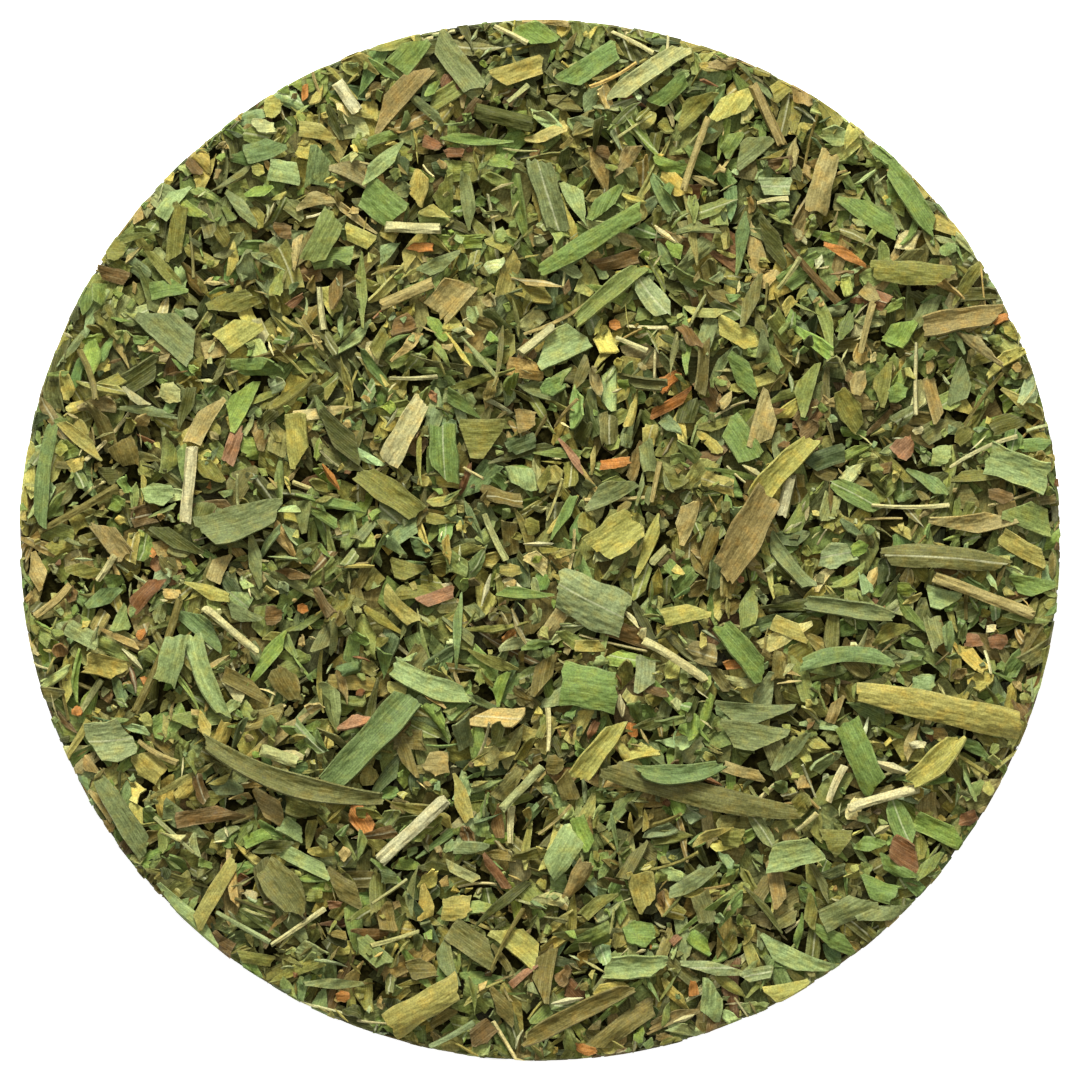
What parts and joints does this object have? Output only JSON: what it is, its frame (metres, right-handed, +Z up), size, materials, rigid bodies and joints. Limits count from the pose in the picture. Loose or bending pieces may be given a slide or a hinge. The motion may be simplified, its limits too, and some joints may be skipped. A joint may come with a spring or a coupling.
{
  "type": "round bed of dried cut tarragon",
  "caption": "Low round bed of dried, cut tarragon leaves and stalks, matted together, with longer leaf blades, tips, strips and straw stalks lying loose on top.",
  "frame": {"origin": "middle of the flat underside", "axes": "+Z up, out of the bed's top; +Y towards the top of the picture, +X to its right"},
  "size_m": [0.1043, 0.1043, 0.0117],
  "materials": {
    "matted_cuttings": "matt dried leaf, rough, in mixed olive, green and straw flakes",
    "leaf_blade": "matt dried leaf with fine parallel veins, blue-green to olive",
    "leaf_tip": "matt dried leaf with fine parallel veins, olive to yellow-green",
    "leaf_strip": "matt dried leaf with fine parallel veins and a pale midrib",
    "stalk": "dry ridged straw",
    "thin_stem": "dry smooth straw, olive-tan"
  },
  "bodies": {
    "root": {"cuttings_bed": "matted_cuttings", "leaf_blade_01": "leaf_blade", "leaf_blade_02": "leaf_blade", "leaf_blade_03": "leaf_blade", "leaf_blade_04": "leaf_blade", "leaf_blade_05": "leaf_blade", "leaf_blade_06": "leaf_blade", "leaf_blade_07": "leaf_blade", "leaf_blade_08": "leaf_blade", "leaf_blade_09": "leaf_blade", "leaf_blade_10": "leaf_blade", "leaf_blade_11": "leaf_blade", "leaf_blade_12": "leaf_blade", "leaf_blade_13": "leaf_blade", "leaf_strip_01": "leaf_strip", "leaf_strip_02": "leaf_strip", "leaf_strip_03": "leaf_strip", "leaf_strip_04": "leaf_strip", "leaf_strip_05": "leaf_strip", "leaf_strip_06": "leaf_strip", "leaf_strip_07": "leaf_strip", "leaf_strip_08": "leaf_strip", "leaf_strip_09": "leaf_strip", "leaf_strip_10": "leaf_strip", "leaf_strip_11": "leaf_strip", "leaf_strip_12": "leaf_strip", "leaf_strip_13": "leaf_strip", "leaf_strip_14": "leaf_strip", "leaf_strip_15": "leaf_strip", "leaf_strip_16": "leaf_strip", "leaf_strip_17": "leaf_strip", "leaf_strip_18": "leaf_strip", "leaf_strip_19": "leaf_strip", "leaf_strip_20": "leaf_strip", "leaf_strip_21": "leaf_strip", "leaf_strip_22": "leaf_strip", "leaf_strip_23": "leaf_strip", "leaf_tip_01": "leaf_tip", "leaf_tip_02": "leaf_tip", "leaf_tip_03": "leaf_tip", "leaf_tip_04": "leaf_tip", "leaf_tip_05": "leaf_tip", "leaf_tip_06": "leaf_tip", "leaf_tip_07": "leaf_tip", "leaf_tip_08": "leaf_tip", "stalk_01": "stalk", "stalk_02": "stalk", "stalk_03": "stalk", "stalk_04": "stalk", "stalk_05": "stalk", "stalk_06": "stalk", "stalk_07": "stalk", "stem_01": "thin_stem", "stem_02": "thin_stem", "stem_03": "thin_stem", "stem_04": "thin_stem", "stem_05": "thin_stem"}
  },
  "joints": []
}
